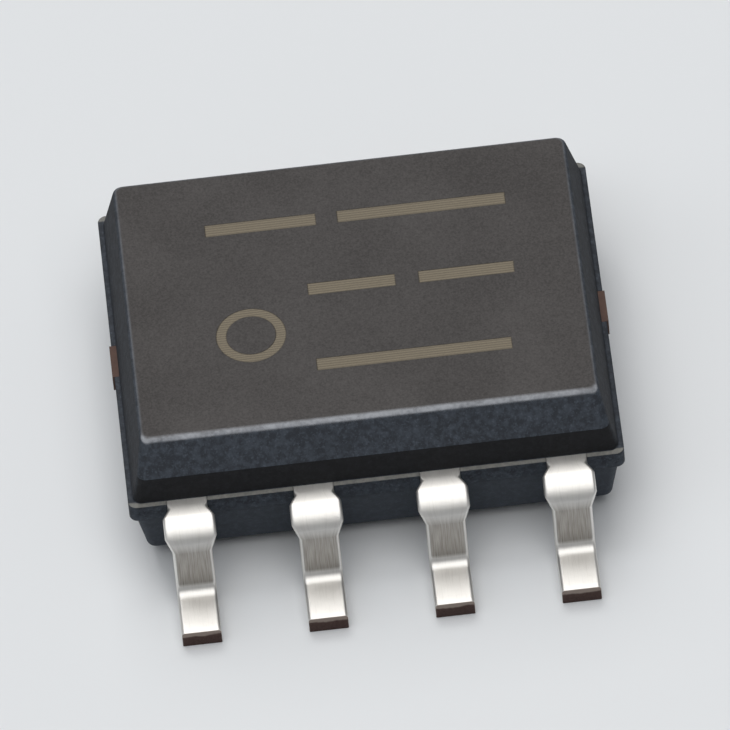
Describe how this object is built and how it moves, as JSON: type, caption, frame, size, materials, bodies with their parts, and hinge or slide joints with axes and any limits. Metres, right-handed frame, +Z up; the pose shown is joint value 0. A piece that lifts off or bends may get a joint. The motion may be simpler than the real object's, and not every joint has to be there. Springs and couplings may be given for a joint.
{
  "type": "soic chip",
  "caption": "Small-outline surface-mount chip: a black moulded body with a long bevel along its marked side and tinned gull-wing leads along both long sides.",
  "frame": {"origin": "centre of the package's outline, on the plane of the circuit board that the feet rest on", "axes": "+X along the body from lead 1 to lead 4, -Y towards leads 1 to 4 and the bevelled side, +Z up from the board"},
  "size_m": [0.005, 0.006, 0.0016],
  "materials": {
    "moulding_compound": "black epoxy with a fine spark-eroded matte grain",
    "tinned_copper": "matte tin plating on copper, bare copper at the trimmed toes",
    "bare_copper": "bare copper alloy sheet, sheared ends",
    "silver_glue": "silver-filled epoxy",
    "silicon": "polished silicon with a patterned top",
    "gold_wire": "bright drawn gold wire"
  },
  "bodies": {
    "root": {"moulded_body": "moulding_compound", "die_pad": "bare_copper", "die_glue": "silver_glue", "silicon_die": "silicon", "lead_1": "tinned_copper", "lead_2": "tinned_copper", "lead_3": "tinned_copper", "lead_4": "tinned_copper", "lead_5": "tinned_copper", "lead_6": "tinned_copper", "lead_7": "tinned_copper", "lead_8": "tinned_copper", "bond_wire_1": "gold_wire", "bond_wire_2": "gold_wire", "bond_wire_3": "gold_wire", "bond_wire_4": "gold_wire", "bond_wire_5": "gold_wire", "bond_wire_6": "gold_wire", "bond_wire_7": "gold_wire", "bond_wire_8": "gold_wire"}
  },
  "joints": []
}
